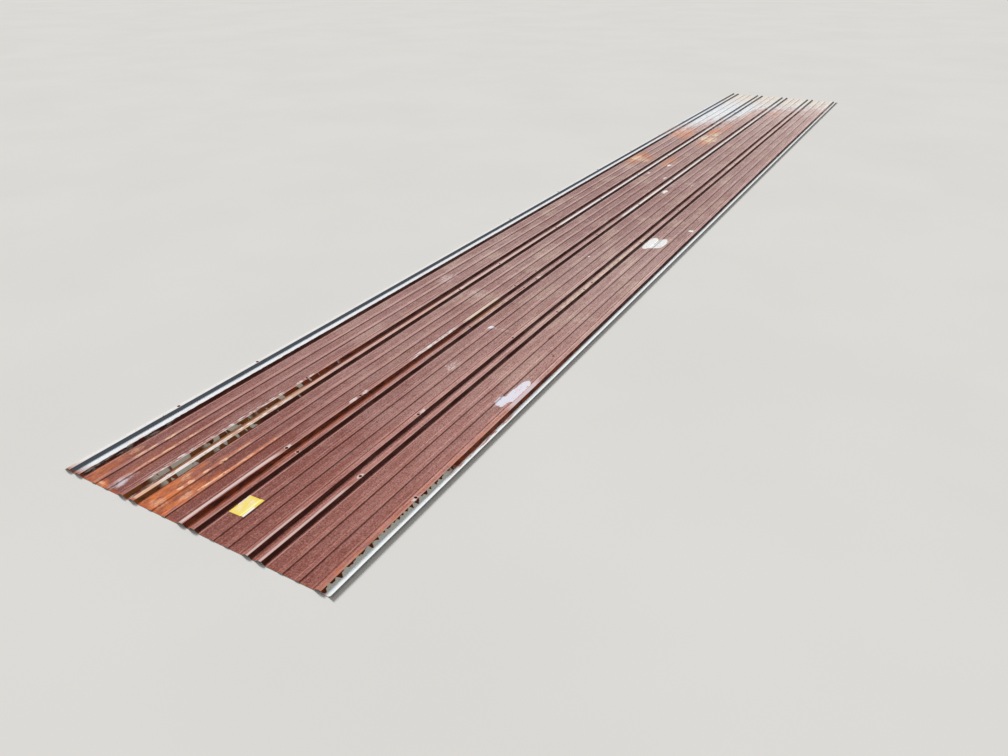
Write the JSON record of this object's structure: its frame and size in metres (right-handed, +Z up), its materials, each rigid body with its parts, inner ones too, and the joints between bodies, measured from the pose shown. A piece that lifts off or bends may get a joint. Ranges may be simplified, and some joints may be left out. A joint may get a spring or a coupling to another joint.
{
  "type": "ribbed roofing sheet",
  "caption": "Long ribbed steel roofing sheet with paired ribs, low beads in its pans, a lap edge and nail holes.",
  "frame": {"origin": "under the middle of the sheet, at the level of its pans", "axes": "+X across the ribs towards the lap edge, +Y along the ribs away from the near end, +Z up"},
  "size_m": [1.02, 7.3152, 0.0085],
  "materials": {
    "weathered_sheet": "weathered red-brown coat with rust, and bare zinc along the laps"
  },
  "bodies": {
    "root": {"ribbed_sheet": "weathered_sheet"}
  },
  "joints": []
}
